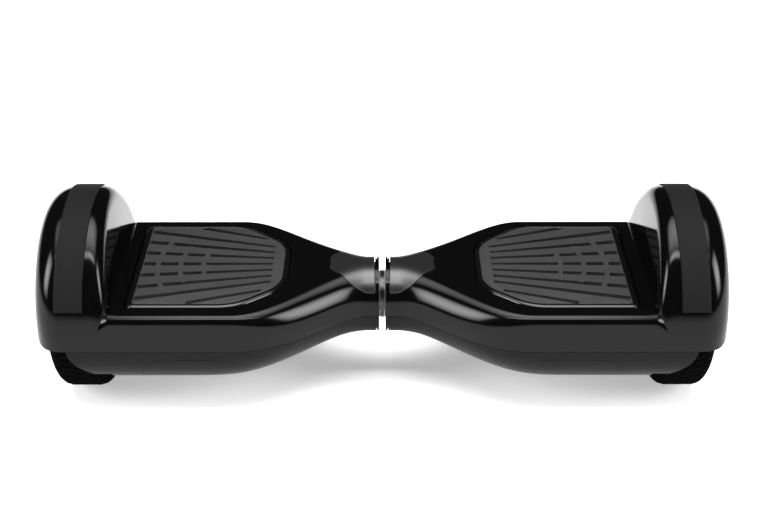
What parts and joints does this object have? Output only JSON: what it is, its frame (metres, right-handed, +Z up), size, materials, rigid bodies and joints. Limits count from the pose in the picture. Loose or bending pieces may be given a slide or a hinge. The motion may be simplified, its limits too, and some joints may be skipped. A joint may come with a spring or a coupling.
{
  "type": "self balancing hoverboard",
  "caption": "Two-wheeled self balancing board: twin gloss-black halves that twist about a middle tube, sprung grooved foot pads, fendered hub-motor wheels and smoked front lights.",
  "frame": {"origin": "On the floor plane, midway between the two wheels and midway from front to back", "axes": "X runs along the board from the left wheel to the right wheel as seen from the lit front, Y runs from the lit front to the back, Z is up"},
  "size_m": [0.584, 0.1887, 0.178],
  "materials": {
    "gloss_shell": "high-gloss black moulded plastic",
    "satin_trim": "satin black plastic",
    "smoke_lens": "smoked glossy lens",
    "led_strip": "white circuit board with small lamps",
    "bumper_rubber": "matte textured rubber",
    "pad_rim": "glossy black plastic",
    "mat_rubber": "matte charcoal rubber with darker grooves",
    "cast_frame": "die-cast aluminium",
    "bright_steel": "turned steel",
    "dark_steel": "blackened steel",
    "lamination_steel": "stacked motor laminations",
    "copper_wire": "enamelled copper windings",
    "magnet_plate": "nickel-plated magnets",
    "hub_metal": "grey painted cast hub",
    "tyre_rubber": "solid black tyre rubber",
    "circuit_board": "green circuit board",
    "bush_brass": "turned brass",
    "cable_sheath": "black cable sheath",
    "battery_wrap": null,
    "cap_rubber": "soft black rubber",
    "button_plastic": "satin button cap"
  },
  "bodies": {
    "left_half": {"left_top_cover": "gloss_shell", "left_bottom_cover": "gloss_shell", "left_cover_screws": "dark_steel", "left_collar_trim": "satin_trim", "left_led_lens": "smoke_lens", "left_led_board": "led_strip", "left_fender_bumper": "bumper_rubber", "left_frame": "cast_frame", "left_frame_screws": "bright_steel", "left_axle_clamp": "cast_frame", "left_clamp_bolts": "dark_steel", "left_motor_axle": "bright_steel", "left_motor_stator": "lamination_steel", "left_motor_windings": "copper_wire", "left_gyro_board": "circuit_board", "pivot_tube": "bright_steel", "tube_sleeve": "cast_frame", "limit_pin": "dark_steel", "pivot_circlip": "dark_steel", "gap_washer": "satin_trim", "link_cable": "cable_sheath", "battery_pack": "battery_wrap"},
    "right_half": {"right_top_cover": "gloss_shell", "right_bottom_cover": "gloss_shell", "right_cover_screws": "dark_steel", "right_collar_trim": "satin_trim", "right_led_lens": "smoke_lens", "right_led_board": "led_strip", "right_fender_bumper": "bumper_rubber", "right_frame": "cast_frame", "right_frame_screws": "bright_steel", "right_axle_clamp": "cast_frame", "right_clamp_bolts": "dark_steel", "right_motor_axle": "bright_steel", "right_motor_stator": "lamination_steel", "right_motor_windings": "copper_wire", "right_gyro_board": "circuit_board", "tube_bushes": "bush_brass", "main_board": "circuit_board", "board_standoffs": "bush_brass", "charge_port": "satin_trim", "button_switch": "satin_trim"},
    "left_wheel": {"left_motor_magnets": "magnet_plate", "left_motor_rim": "hub_metal", "left_hub_cover": "hub_metal", "left_hub_bolts": "dark_steel", "left_wheel_bearings": "bright_steel", "left_tyre": "tyre_rubber"},
    "right_wheel": {"right_motor_magnets": "magnet_plate", "right_motor_rim": "hub_metal", "right_hub_cover": "hub_metal", "right_hub_bolts": "dark_steel", "right_wheel_bearings": "bright_steel", "right_tyre": "tyre_rubber"},
    "left_pad": {"left_pedal_plate": "pad_rim", "left_foot_mat": "mat_rubber"},
    "right_pad": {"right_pedal_plate": "pad_rim", "right_foot_mat": "mat_rubber"},
    "charge_cap": {"charge_cap": "cap_rubber"},
    "power_button": {"power_button": "button_plastic"}
  },
  "joints": [
    {"name": "centre_twist", "type": "hinge", "parent": "left_half", "child": "right_half", "pos_m": [0, 0, 0.08], "axis": [1, 0, 0], "range_deg": [-12, 12]},
    {"name": "left_wheel_spin", "type": "hinge", "parent": "left_half", "child": "left_wheel", "pos_m": [-0.26, 0, 0.0845], "axis": [1, 0, 0], "continuous": true},
    {"name": "right_wheel_spin", "type": "hinge", "parent": "right_half", "child": "right_wheel", "pos_m": [0.26, 0, 0.0845], "axis": [1, 0, 0], "continuous": true},
    {"name": "left_pad_press", "type": "slide", "parent": "left_half", "child": "left_pad", "axis": [0, 0, -1], "range_m": [0, 0.002], "stiffness_N_per_m": 8000, "springref_m": -0.001},
    {"name": "right_pad_press", "type": "slide", "parent": "right_half", "child": "right_pad", "axis": [0, 0, -1], "range_m": [0, 0.002], "stiffness_N_per_m": 8000, "springref_m": -0.001},
    {"name": "power_button_press", "type": "slide", "parent": "right_half", "child": "power_button", "axis": [0, -1, 0], "range_m": [0, 0.0015], "stiffness_N_per_m": 500, "springref_m": -0.001},
    {"name": "charge_cap_swing", "type": "hinge", "parent": "right_half", "child": "charge_cap", "pos_m": [0.198, 0.0946, 0.0986], "axis": [1, 0, 0], "range_deg": [0, 110]}
  ]
}
